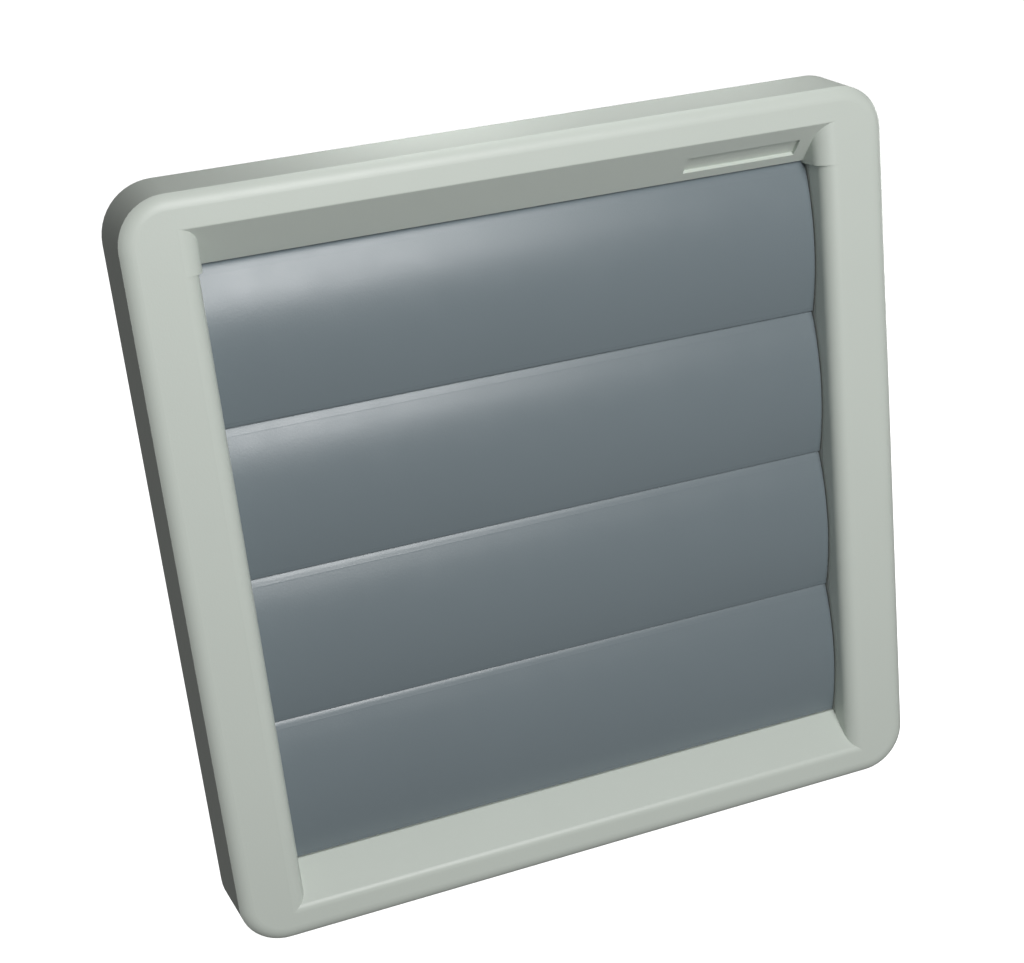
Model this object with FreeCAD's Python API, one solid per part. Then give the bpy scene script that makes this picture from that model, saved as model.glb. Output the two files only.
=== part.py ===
"""Gravity louvre shutter: a moulded wall frame with four self-closing slats.

Millimetres, +Z up, front towards -Y. The origin is the centre of the back, on the
wall plane. In the outlines below, depth is measured forwards from that plane.
"""
import FreeCAD, Part
import math
import os

# Frame, outside
frame_width = 250.0
frame_height = 250.0
frame_depth = 23.6
corner_radius = 17.0
frame_wall = 2.0
wall_taper = 2.1
front_round_width = 4.5
front_round_depth = 2.2

# Window in the frame's front
side_border = 23.7
top_border = 12.5
bottom_border = 12.5
crease_radius = 0.6
cheek_radius = 5.0

# Header: the face that slopes back and down from the top border to the first slat
header_drop = 13.15
header_run = 12.6
header_cheek_step = 1.3
header_cheek_radius = 5.8
header_cheek_drop = 0.6
tongue_room = 1.9

# Sill: the face that slopes up and back from the bottom border to the last slat
sill_rise = 11.1
sill_run = 12.2
sill_edge_radius = 3.0
upstand_wall = 1.5
upstand_height = 2.4
upstand_gap = 2.4

# Badge recess in the header, left bare
badge_width = 39.6
badge_height = 7.4
badge_depth = 1.3
badge_side_gap = 4.7
badge_above_edge = 4.2

# Slats
slat_count = 4
slat_wall = 1.0
slat_end_gap = 0.4
slat_top_show = 0.85
lip_gap = 0.3
lip_front = 11.3
crown_front = 14.7
roll_front = 11.4
roll_drop = 2.5
roll_radius = 9.0
roll_end_angle = 45.0

# Pivots: a pin on each slat end, in a bore of a bearing strip
pivot_depth = 8.0
pivot_below_seam = 4.2
pin_radius = 1.75
pin_clearance = 0.05
pin_end_gap = 0.4
boss_radius = 3.1
shoulder_gap = 0.2
web_wall = 1.5
web_height = 18.0

# Bearing strips, one behind each cheek
strip_wall = 3.0
strip_side_gap = 0.2
strip_end_gap = 0.2
strip_front = 12.6
stop_reach = 3.0
stop_height = 5.0
stop_above_lip = 4.0
stop_gap = 0.25
open_stop_height = 1.7
open_stop_below = 0.9
open_stop_front = 4.3

# Rear plate with the duct opening
plate_wall = 2.0
plate_gap = 0.4
duct_inset = 2.0
wall_hole_inset = 39.0
wall_hole_radius = 2.6

# Screws that hold the rear plate to the frame
plate_screw_inset = 11.5
screw_radius = 1.5
screw_length = 12.0
screw_head_radius = 3.0
screw_head_height = 1.6
screw_clearance = 0.05
screw_boss_radius = 3.4
screw_slot_width = 0.9
screw_slot_length = 3.6
screw_slot_depth = 0.7

# Derived places
half_width = frame_width / 2
half_height = frame_height / 2
window_half = half_width - side_border
header_half = window_half - header_cheek_step
slat_half = window_half - slat_end_gap
header_top = half_height - top_border
header_edge = header_top - header_drop
header_edge_depth = frame_depth - header_run
sill_front = -half_height + bottom_border
sill_floor = sill_front + sill_rise
sill_edge_depth = frame_depth - sill_run
top_seam = header_edge - slat_top_show
last_lip = sill_floor + lip_gap
slat_pitch = (top_seam - last_lip) / slat_count
header_ceiling = header_edge + tongue_room
cheek_step = header_edge - header_cheek_drop
pocket_half = window_half + strip_wall + strip_side_gap
pocket_front = strip_front + strip_end_gap
duct_radius = min(window_half, (header_edge - sill_floor) / 2) - duct_inset

# How far a cutting shape reaches past what it cuts, and a joined piece into its neighbour
beyond = 20.0
overlap = 1.0

# Two points nearer than this are the same
same_place = 1e-6


def at(x, depth, z):
    return FreeCAD.Vector(x, -depth, z)


def side_view(depth, z):
    return at(0, depth, z)


def plan_view(x, depth):
    return at(x, depth, 0)


def front_view(x, z):
    return at(x, 0, z)


def outline(corners, view):
    """A closed face from (a, b, radius) corners; a radius rounds its corner."""
    points = [view(a, b) for a, b, radius in corners]
    edges = []
    ends = []
    for index, (a, b, radius) in enumerate(corners):
        here = points[index]
        if radius == 0:
            ends.append((here, here))
            continue
        back = (points[index - 1] - here).normalize()
        ahead = (points[(index + 1) % len(points)] - here).normalize()
        half_angle = back.getAngle(ahead) / 2
        reach = radius / math.tan(half_angle)
        middle = (back + ahead).normalize() * (radius / math.sin(half_angle) - radius)
        start = here + back * reach
        end = here + ahead * reach
        edges.append(Part.Arc(start, here + middle, end).toShape())
        ends.append((start, end))
    for index, (start, end) in enumerate(ends):
        after = ends[(index + 1) % len(ends)][0]
        if end.distanceToPoint(after) > same_place:
            edges.append(Part.LineSegment(end, after).toShape())
    return Part.Face(Part.Wire(Part.__sortEdges__(edges)))


def across(face, low, high):
    """Extrude a side-view face along X."""
    face.translate(at(low, 0, 0))
    return face.extrude(at(high - low, 0, 0))


def upright(face, low, high):
    """Extrude a plan-view face along Z."""
    face.translate(at(0, 0, low))
    return face.extrude(at(0, 0, high - low))


def forwards(face, low, high):
    """Extrude a front-view face away from the wall."""
    face.translate(at(0, low, 0))
    return face.extrude(at(0, high - low, 0))


def block(x_range, depth_range, z_range):
    x_low, x_high = sorted(x_range)
    low = at(x_low, depth_range[1], z_range[0])
    return Part.makeBox(x_high - x_low, depth_range[1] - depth_range[0],
                        z_range[1] - z_range[0], low)


def rod_along_x(radius, x_range, depth, z):
    x_low, x_high = sorted(x_range)
    return Part.makeCylinder(radius, x_high - x_low, at(x_low, depth, z), at(1, 0, 0))


def rod_forwards(radius, x, z, low, high):
    return Part.makeCylinder(radius, high - low, at(x, low, z), at(0, 1, 0))


def four_corners(inset):
    across_half = half_width - inset
    upright_half = half_height - inset
    return [(x, z) for x in (-across_half, across_half) for z in (-upright_half, upright_half)]


def panel_face(inset):
    """The frame's outline in the front view, moved inwards; its corners keep their centres."""
    half_x = half_width - inset
    half_z = half_height - inset
    radius = corner_radius - inset
    corners = [(-half_x, -half_z, radius), (half_x, -half_z, radius),
               (half_x, half_z, radius), (-half_x, half_z, radius)]
    return outline(corners, front_view)


def tapered_block(inset, low, high):
    """The space inside the frame's side walls, which lean inwards to the front."""
    ends = []
    for depth in (low, high):
        face = panel_face(inset + wall_taper * depth / frame_depth)
        face.translate(at(0, depth, 0))
        ends.append(face.OuterWire)
    return Part.makeLoft(ends, True, True)


def rounded_block(inset):
    """The frame's outside, or with an inset its inside: side walls, crease and rounded front."""
    front = frame_depth - inset
    radius = (front_round_width ** 2 + front_round_depth ** 2) / (2 * front_round_depth)
    crease = wall_taper * (1 - front_round_depth / frame_depth)
    low = front - radius - overlap
    panel = forwards(panel_face(crease + front_round_width - radius + inset), low, front)
    front_edges = [edge for edge in panel.Edges
                   if all(abs(vertex.Point.y + front) < same_place for vertex in edge.Vertexes)]
    panel = panel.makeFillet(radius - inset, front_edges)
    rim = block((-frame_width, frame_width), (low, front), (-frame_height, frame_height)).cut(panel)
    return tapered_block(inset, -inset, front).cut(rim)


def window_plan(half, rear_half, step_depth, radius, grow, z_range):
    """The window's space between the cheeks, whose front edges are rounded, as a prism along Z."""
    wall = half + grow
    rear = rear_half + grow
    step = step_depth + grow
    level = frame_depth - grow
    side = half + radius
    right = [(rear, -beyond, 0), (rear, step, 0), (wall, step, 0), (wall, level, radius - grow),
             (side, level, 0), (side, frame_depth + beyond, 0)]
    left = [(-x, depth, turn) for x, depth, turn in reversed(right)]
    return upright(outline(right + left, plan_view), z_range[0], z_range[1])


def window_section(grow):
    """The window's space between sill and header, as a prism along X."""
    header_length = math.hypot(header_run, header_drop)
    header_back = frame_wall * header_drop / header_length
    header_up = frame_wall * header_run / header_length
    lip_back = header_edge_depth - header_back
    lip_small = crease_radius / 2
    front = frame_depth + beyond
    corners = [(-beyond, sill_floor, 0),
               (sill_edge_depth, sill_floor, crease_radius),
               (frame_depth, sill_front, sill_edge_radius),
               (frame_depth, sill_front - bottom_border / 2, 0),
               (front, sill_front - bottom_border / 2, 0),
               (front, header_top + top_border / 2, 0),
               (frame_depth, header_top + top_border / 2, 0),
               (frame_depth, header_top, crease_radius),
               (header_edge_depth, header_edge, crease_radius),
               (lip_back, header_edge + header_up, lip_small),
               (lip_back, header_ceiling, 0),
               (-beyond, header_ceiling, 0)]
    face = outline(corners, side_view)
    if grow:
        face = Part.Face(face.OuterWire.makeOffset2D(grow, 2))
    return across(face, -half_width, half_width)


def window_space(grow):
    """All of the window's open space; grown, it is the space plus its walls."""
    beside_slats = window_plan(window_half, pocket_half, pocket_front, cheek_radius,
                               grow, (-half_height, cheek_step + grow))
    tongue_front = header_edge_depth - crease_radius
    beside_header = window_plan(header_half, window_half, tongue_front, header_cheek_radius,
                                grow, (cheek_step, half_height))
    return beside_slats.fuse(beside_header).common(window_section(grow))


def badge_recess():
    """A shallow rectangle in the header's face, square to it."""
    slope = math.atan2(header_drop, header_run)
    along = (math.cos(slope), math.sin(slope))
    inwards = (-math.sin(slope), math.cos(slope))
    corners = []
    for distance, sink in ((0, -overlap), (badge_height, -overlap), (badge_height, badge_depth), (0, badge_depth)):
        distance += badge_above_edge
        corners.append((header_edge_depth + along[0] * distance + inwards[0] * sink,
                        header_edge + along[1] * distance + inwards[1] * sink, 0))
    high = header_half - badge_side_gap
    return across(outline(corners, side_view), high - badge_width, high)


def frame():
    body = rounded_block(0)
    hollow = rounded_block(frame_wall)
    inner_front = frame_depth - frame_wall
    behind_plate = block((-frame_width, frame_width), (-beyond, plate_wall),
                         (-frame_height, frame_height))
    walls = window_space(frame_wall).common(body).cut(behind_plate)
    shape = body.cut(hollow).fuse(walls)
    for x, z in four_corners(plate_screw_inset):
        shape = shape.fuse(rod_forwards(screw_boss_radius, x, z, plate_wall, inner_front + overlap))
    shape = shape.cut(window_space(0))
    upstand_front = sill_edge_depth - upstand_gap
    shape = shape.fuse(block((-window_half, window_half), (upstand_front - upstand_wall, upstand_front),
                             (sill_floor - overlap, sill_floor + upstand_height)))
    for x, z in four_corners(plate_screw_inset):
        shape = shape.cut(rod_forwards(screw_radius + screw_clearance, x, z, 0, screw_length + overlap))
    return shape.cut(badge_recess()).removeSplitter()


def seam_above(slat):
    return top_seam - slat * slat_pitch


def circle_through(a, b, c):
    """Centre (depth, z) and radius of the circle through three side-view points."""
    circle = Part.Circle(side_view(*a), side_view(*b), side_view(*c))
    return (-circle.Center.y, circle.Center.z), circle.Radius


def slat_curves():
    """Centres, radii and limits of the slat's front face and of its rolled top.

    Heights are measured from the seam above the slat.
    """
    roll_start = (roll_front, -roll_drop)
    lip = (lip_front, -slat_pitch)
    crown = (crown_front, -(roll_drop + slat_pitch) / 2)
    centre, radius = circle_through(roll_start, crown, lip)
    start_angle = math.atan2(roll_start[1] - centre[1], roll_start[0] - centre[0])
    lip_angle = math.atan2(lip[1] - centre[1], lip[0] - centre[0])
    roll_centre = (roll_start[0] - roll_radius * math.cos(start_angle),
                   roll_start[1] - roll_radius * math.sin(start_angle))
    return centre, radius, lip_angle, start_angle, roll_centre


def face_depth(height, inset):
    """Depth of the slat's curved face, or of its back, at a height from the seam."""
    centre, radius, lip_angle, start_angle, roll_centre = slat_curves()
    return centre[0] + math.sqrt((radius - inset) ** 2 - (height - centre[1]) ** 2)


def slat_section():
    """The slat's section: a thin crowned shell with a rolled top and a round lip."""
    centre, radius, lip_angle, start_angle, roll_centre = slat_curves()
    end_angle = math.radians(roll_end_angle)

    def polar(origin, reach, angle):
        return side_view(origin[0] + reach * math.cos(angle), origin[1] + reach * math.sin(angle))

    def arc(origin, reach, first, last):
        middle = (first + last) / 2
        return Part.Arc(polar(origin, reach, first), polar(origin, reach, middle),
                        polar(origin, reach, last)).toShape()

    def round_end(origin, reach, angle, turn):
        """A half circle across the wall, past the end of its arcs."""
        middle = (origin[0] + (reach - slat_wall / 2) * math.cos(angle),
                  origin[1] + (reach - slat_wall / 2) * math.sin(angle))
        tip = polar(middle, slat_wall / 2, angle + turn)
        return Part.Arc(polar(origin, reach, angle), tip, polar(origin, reach - slat_wall, angle)).toShape()

    lip_angle += slat_wall / 2 / radius
    edges = [arc(centre, radius, lip_angle, start_angle),
             arc(roll_centre, roll_radius, start_angle, end_angle),
             round_end(roll_centre, roll_radius, end_angle, math.pi / 2),
             arc(roll_centre, roll_radius - slat_wall, end_angle, start_angle),
             arc(centre, radius - slat_wall, start_angle, lip_angle),
             round_end(centre, radius, lip_angle, -math.pi / 2)]
    return Part.Face(Part.Wire(Part.__sortEdges__(edges)))


def end_web(x_range):
    """The web that joins the pivot boss to the back of the shell at a slat end."""
    inside = slat_wall / 2
    foot = -pivot_below_seam - web_height
    corners = [(pivot_depth - boss_radius, -pivot_below_seam, 0),
               (face_depth(foot, slat_wall), foot, 0),
               (face_depth(foot, inside), foot, 0),
               (face_depth(-pivot_below_seam, inside), -pivot_below_seam, 0),
               (roll_front - inside, -roll_drop, 0),
               (pivot_depth, -pivot_below_seam + boss_radius, 0)]
    return across(outline(corners, side_view), *sorted(x_range))


def slat(index):
    shape = across(slat_section(), -slat_half, slat_half)
    for side in (-1, 1):
        web = (side * slat_half, side * (slat_half - web_wall))
        shoulder = (side * (slat_half - web_wall), side * (window_half - shoulder_gap))
        pin = (side * slat_half, side * (pocket_half - pin_end_gap))
        shape = shape.fuse(end_web(web))
        shape = shape.fuse(rod_along_x(boss_radius, shoulder, pivot_depth, -pivot_below_seam))
        shape = shape.fuse(rod_along_x(pin_radius, pin, pivot_depth, -pivot_below_seam))
    shape = shape.removeSplitter()
    shape.translate(at(0, 0, seam_above(index)))
    return shape


def bearing_strip(side):
    """A bar with a bore, a closed stop and an open stop for each slat."""
    bar = (side * window_half, side * (window_half + strip_wall))
    stop = (side * (window_half + overlap), side * (window_half - stop_reach))
    shape = block(bar, (plate_wall, strip_front),
                  (sill_floor + strip_end_gap, cheek_step - strip_end_gap))
    for index in range(slat_count):
        pivot = seam_above(index) - pivot_below_seam
        low = seam_above(index + 1) + stop_above_lip
        stop_front = face_depth(low - seam_above(index), slat_wall) - stop_gap
        shape = shape.fuse(block(stop, (pivot_depth, stop_front), (low, low + stop_height)))
        top = pivot - open_stop_below
        shape = shape.fuse(block(stop, (plate_wall, open_stop_front), (top - open_stop_height, top)))
        bore = (side * (window_half - overlap), side * (window_half + strip_wall + overlap))
        shape = shape.cut(rod_along_x(pin_radius + pin_clearance, bore, pivot_depth, pivot))
    return shape.removeSplitter()


def countersunk(x, z, radius, head_radius, low, high):
    """A countersunk screw's outside, or the hole for it, with the head at the low end."""
    head = Part.makeCone(head_radius, radius, screw_head_height, at(x, low, z), at(0, 1, 0))
    return head.fuse(rod_forwards(radius, x, z, low, high))


def rear_plate():
    shape = forwards(panel_face(frame_wall + plate_gap), 0, plate_wall)
    shape = shape.cut(rod_forwards(duct_radius, 0, 0, -overlap, plate_wall + overlap))
    for x, z in four_corners(wall_hole_inset):
        shape = shape.cut(rod_forwards(wall_hole_radius, x, z, -overlap, frame_depth))
    for x, z in four_corners(plate_screw_inset):
        shape = shape.cut(countersunk(x, z, screw_radius + screw_clearance, screw_head_radius,
                                      0, frame_depth))
    return shape.removeSplitter()


def plate_screw(x, z):
    shape = countersunk(x, z, screw_radius, screw_head_radius - screw_clearance, 0, screw_length)
    reach = screw_slot_length / 2
    half = screw_slot_width / 2
    for wide, tall in ((reach, half), (half, reach)):
        shape = shape.cut(block((x - wide, x + wide), (-overlap, screw_slot_depth), (z - tall, z + tall)))
    return shape


def main():
    pieces = {"frame": frame(), "rear_plate": rear_plate(),
              "bearing_strip_left": bearing_strip(-1), "bearing_strip_right": bearing_strip(1)}
    for index in range(slat_count):
        pieces["slat_%d" % (index + 1)] = slat(index)
    for number, (x, z) in enumerate(four_corners(plate_screw_inset), 1):
        pieces["plate_screw_%d" % number] = plate_screw(x, z)
    os.makedirs("parts", exist_ok=True)
    for name, shape in pieces.items():
        if len(shape.Solids) != 1:
            raise ValueError("%s has %d solids" % (name, len(shape.Solids)))
        shape.Solids[0].exportStep("parts/%s.step" % name)
        box = shape.BoundBox
        print("%-20s %9.0f mm3  x %.1f %.1f  y %.1f %.1f  z %.1f %.1f" % (
            name, shape.Volume, box.XMin, box.XMax, box.YMin, box.YMax, box.ZMin, box.ZMax))


main()
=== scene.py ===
"""Looks of the gravity louvre shutter: its finishes, the backdrop, the light and the camera."""

import bmesh
import bpy
import math
from mathutils import Matrix, Vector


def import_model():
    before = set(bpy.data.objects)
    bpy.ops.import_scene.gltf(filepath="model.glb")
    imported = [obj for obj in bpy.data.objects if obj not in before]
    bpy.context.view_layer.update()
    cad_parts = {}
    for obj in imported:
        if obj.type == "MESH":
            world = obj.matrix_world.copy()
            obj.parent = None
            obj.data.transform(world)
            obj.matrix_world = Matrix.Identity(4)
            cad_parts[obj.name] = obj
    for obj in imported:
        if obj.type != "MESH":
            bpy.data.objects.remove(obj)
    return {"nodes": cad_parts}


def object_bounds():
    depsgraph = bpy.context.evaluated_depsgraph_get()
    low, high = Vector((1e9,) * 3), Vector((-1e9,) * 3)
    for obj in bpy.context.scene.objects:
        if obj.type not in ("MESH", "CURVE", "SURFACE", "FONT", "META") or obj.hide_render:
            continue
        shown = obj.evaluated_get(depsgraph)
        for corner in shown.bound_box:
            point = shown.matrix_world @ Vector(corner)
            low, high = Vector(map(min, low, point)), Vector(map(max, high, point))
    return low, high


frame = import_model()
frame_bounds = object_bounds()

# Camera, solved from the straight edges of the shutter in the photograph
camera_place = Vector((-0.17225, -0.51273, 0.19674))
camera_aim = Vector((-0.01536, -0.02360, 0.01682))
camera_up = Vector((0.20660, 0.27872, 0.93789))
camera_lens = 60.40
camera_sensor = 36.0

# Colours of the mouldings, as linear light
frame_grey = (0.620, 0.670, 0.615)
slat_blue_grey = (0.180, 0.218, 0.238)
strip_grey = (0.560, 0.600, 0.560)
plate_grey = (0.520, 0.560, 0.520)
screw_zinc = (0.620, 0.620, 0.600)
backdrop_white = (1, 1, 1, 1)

# Mottle, uneven gloss and grain of the moulded plastic
cloud_pitch = 0.045
gloss_pitch = 0.012
gloss_spread = 0.10
grain_pitch = 0.0006
grain_depth = 0.00002

# Rolled edge of a slat: how far it reaches down from the top, and how much fuller it looks
rolled_edge_height = 0.0045
rolled_edge_fullness = 0.00042

# Spangle, brushing and grain of the screws' zinc
spangle_pitch = 0.002
brush_pitch = 0.0008
zinc_grain_pitch = 0.0003
zinc_grain_depth = 0.00001

# Backdrop: a round floor with a flared rim
backdrop_reach = 4.0
backdrop_flare = 1.5
backdrop_rise = 3.0
backdrop_segments = 48

# The lamps face the middle of the shutter's back, most of them from this far
shutter_middle = (0, 0, 0)
lamp_reach = 1.0


class Wire:
    """An output socket. Sums, differences and products add their Math nodes."""

    def __init__(self, finish, socket):
        self.finish = finish
        self.socket = socket

    def __add__(self, other):
        return self.finish.math("ADD", self, other)

    def __radd__(self, other):
        return self.finish.math("ADD", other, self)

    def __sub__(self, other):
        return self.finish.math("SUBTRACT", self, other)

    def __rsub__(self, other):
        return self.finish.math("SUBTRACT", other, self)

    def __mul__(self, other):
        return self.finish.math("MULTIPLY", self, other)

    def __rmul__(self, other):
        return self.finish.math("MULTIPLY", other, self)


class Finish:
    """A material, and the nodes that make it."""

    def __init__(self, name):
        self.material = bpy.data.materials.new(name)
        self.material.use_nodes = True
        self.tree = self.material.node_tree
        self.shader = self.tree.nodes["Principled BSDF"]
        self.place = self.node("TexCoord", {}, {}, "Object")

    def put(self, socket, value):
        """Link a wire to a socket, or set the socket's own value."""
        if isinstance(value, Wire):
            self.tree.links.new(value.socket, socket)
        else:
            socket.default_value = value

    def node(self, kind, settings, sockets, output=0):
        """A node of that kind, as the wire of one of its outputs."""
        made = self.tree.nodes.new("ShaderNode" + kind)
        for name, value in settings.items():
            setattr(made, name, value)
        for name, value in sockets.items():
            self.put(made.inputs[name], value)
        return Wire(self, made.outputs[output])

    def math(self, operation, a, b):
        return self.node("Math", {"operation": operation}, {0: a, 1: b})

    def noise(self, pitch):
        """Noise from 0 to 1 whose lumps are about pitch across, in metres."""
        return self.node("TexNoise", {}, {"Vector": self.place, "Scale": 1 / pitch})

    def blend(self, amount, first, second):
        """A colour between two colours."""
        return self.node("Mix", {"data_type": "RGBA"}, {0: amount, 6: first, 7: second}, 2)

    def fade(self, value, end):
        """One where the value is zero, and smoothly less down to nothing at the end."""
        return self.node("MapRange", {"interpolation_type": "SMOOTHSTEP"},
                         {"Value": value, "From Max": end, "To Min": 1, "To Max": 0})

    def bump(self, height):
        """Relief whose height is in metres."""
        self.put(self.shader.inputs["Normal"], self.node("Bump", {}, {"Height": height, "Distance": 1.0}))

    def set(self, **values):
        """Set the shader's sockets; an underscore stands for a space."""
        for name, value in values.items():
            self.put(self.shader.inputs[name.replace("_", " ")], value)
        return self


def shade(colour, factor):
    """A colour made lighter or darker, with its alpha."""
    return tuple(channel * factor for channel in colour) + (1,)


def moulded_plastic(name, colour, roughness, mottle, relief=None):
    """Satin moulded plastic: a soft mottle, uneven gloss, a fine grain and any relief of its own."""
    finish = Finish(name)
    clouds = finish.noise(cloud_pitch)
    finish.set(Base_Color=finish.blend(clouds, shade(colour, 1 - mottle), shade(colour, 1 + mottle)),
               Roughness=roughness + gloss_spread * (finish.noise(gloss_pitch) - 0.5))
    grain = finish.noise(grain_pitch) * grain_depth
    if relief:
        grain = grain + relief(finish)
    finish.bump(grain)
    return finish.material


def rolled_edge(finish):
    """Relief that makes the rolled edge of each slat, just under the lip above, look fuller."""
    tops = [max(vertex.co.z for vertex in frame["nodes"][name].data.vertices)
            for name in ("slat_1", "slat_2")]
    height = finish.node("SeparateXYZ", {}, {0: finish.place}, 2)
    below_top = finish.math("FLOORED_MODULO", tops[0] - height, tops[0] - tops[1])
    return finish.fade(below_top, rolled_edge_height) * rolled_edge_fullness


def zinc_plate(name, colour):
    """Bright zinc on a steel screw, lightly brushed."""
    finish = Finish(name)
    spangle = finish.noise(spangle_pitch)
    finish.set(Base_Color=finish.blend(spangle, shade(colour, 0.9), shade(colour, 1.1)),
               Metallic=1.0, Roughness=0.3 + 0.15 * finish.noise(brush_pitch))
    finish.bump(finish.noise(zinc_grain_pitch) * zinc_grain_depth)
    return finish.material


def dress(prefix, material):
    """Give every node whose name starts so its finish."""
    for name, node in frame["nodes"].items():
        if name.startswith(prefix):
            node.data.materials.clear()
            node.data.materials.append(material)


def lamp(name, place, aim, width, height, power):
    """A soft white rectangular lamp that faces a point."""
    light = bpy.data.lights.new(name, "AREA")
    light.shape = "RECTANGLE"
    light.size = width
    light.size_y = height
    light.energy = power
    holder = bpy.data.objects.new(name, light)
    holder.location = place
    holder.rotation_mode = "QUATERNION"
    holder.rotation_quaternion = (Vector(aim) - Vector(place)).to_track_quat("-Z", "Y")
    bpy.context.scene.collection.objects.link(holder)


def around(side, height):
    """A lamp's place round the shutter, from its angles to the right of the front and upwards."""
    side = math.radians(side)
    height = math.radians(height)
    level = lamp_reach * math.cos(height)
    return (level * math.sin(side), -level * math.cos(side), lamp_reach * math.sin(height))


def backdrop():
    """A plain white floor whose far rim rises, and which lights and shades nothing."""
    mesh = bpy.data.meshes.new("backdrop")
    shape = bmesh.new()
    bmesh.ops.create_cone(shape, segments=backdrop_segments, cap_ends=True, radius1=backdrop_reach,
                          radius2=backdrop_reach * backdrop_flare, depth=backdrop_rise)
    bmesh.ops.translate(shape, verts=shape.verts, vec=(0, 0, frame_bounds[0].z + backdrop_rise / 2))
    lid = max(shape.faces, key=lambda face: face.calc_center_median().z)
    bmesh.ops.delete(shape, geom=[lid], context="FACES_ONLY")
    shape.to_mesh(mesh)
    shape.free()
    piece = bpy.data.objects.new("backdrop", mesh)
    bpy.context.scene.collection.objects.link(piece)
    finish = Finish("backdrop_white")
    finish.set(Base_Color=backdrop_white, Emission_Color=backdrop_white, Emission_Strength=1.0)
    mesh.materials.append(finish.material)
    piece.visible_diffuse = False
    piece.visible_glossy = False
    piece.visible_shadow = False


def camera():
    """The photograph's camera: where it stands, what it looks at and its roll."""
    data = bpy.data.cameras.new("camera")
    data.sensor_width = camera_sensor
    data.lens = camera_lens
    holder = bpy.data.objects.new("camera", data)
    forward = (camera_aim - camera_place).normalized()
    right = forward.cross(camera_up).normalized()
    turn = Matrix((right, right.cross(forward), -forward)).transposed()
    holder.matrix_world = Matrix.Translation(camera_place) @ turn.to_4x4()
    bpy.context.scene.collection.objects.link(holder)
    bpy.context.scene.camera = holder


def world(strength):
    """Dim even light from all sides."""
    made = bpy.data.worlds.new("room")
    made.use_nodes = True
    made.node_tree.nodes["Background"].inputs["Color"].default_value = (1, 1, 1, 1)
    made.node_tree.nodes["Background"].inputs["Strength"].default_value = strength
    bpy.context.scene.world = made


dress("frame", moulded_plastic("frame_plastic", frame_grey, 0.42, 0.02))
dress("slat_", moulded_plastic("slat_plastic", slat_blue_grey, 0.31, 0.02, rolled_edge))
dress("bearing_strip_", moulded_plastic("strip_plastic", strip_grey, 0.45, 0.02))
dress("rear_plate", moulded_plastic("plate_plastic", plate_grey, 0.5, 0.03))
dress("plate_screw_", zinc_plate("screw_steel", screw_zinc))

backdrop()
camera()
world(0.124)
lamp("front", around(7, 27), shutter_middle, 0.35, 0.54, 6.4)
lamp("front_low", around(1, 16), shutter_middle, 0.17, 0.14, 1.2)
lamp("behind", around(125, 0), shutter_middle, 0.40, 0.40, 5.0)

# Two small lamps close above the top wall
lamp("top_middle", (-0.02, 0.01, 0.19), (-0.02, -0.01, 0.12), 0.05, 0.02, 0.036)
lamp("top_right", (0.08, 0.01, 0.19), (0.08, -0.01, 0.12), 0.05, 0.02, 0.022)
bpy.context.scene.view_settings.view_transform = "Standard"
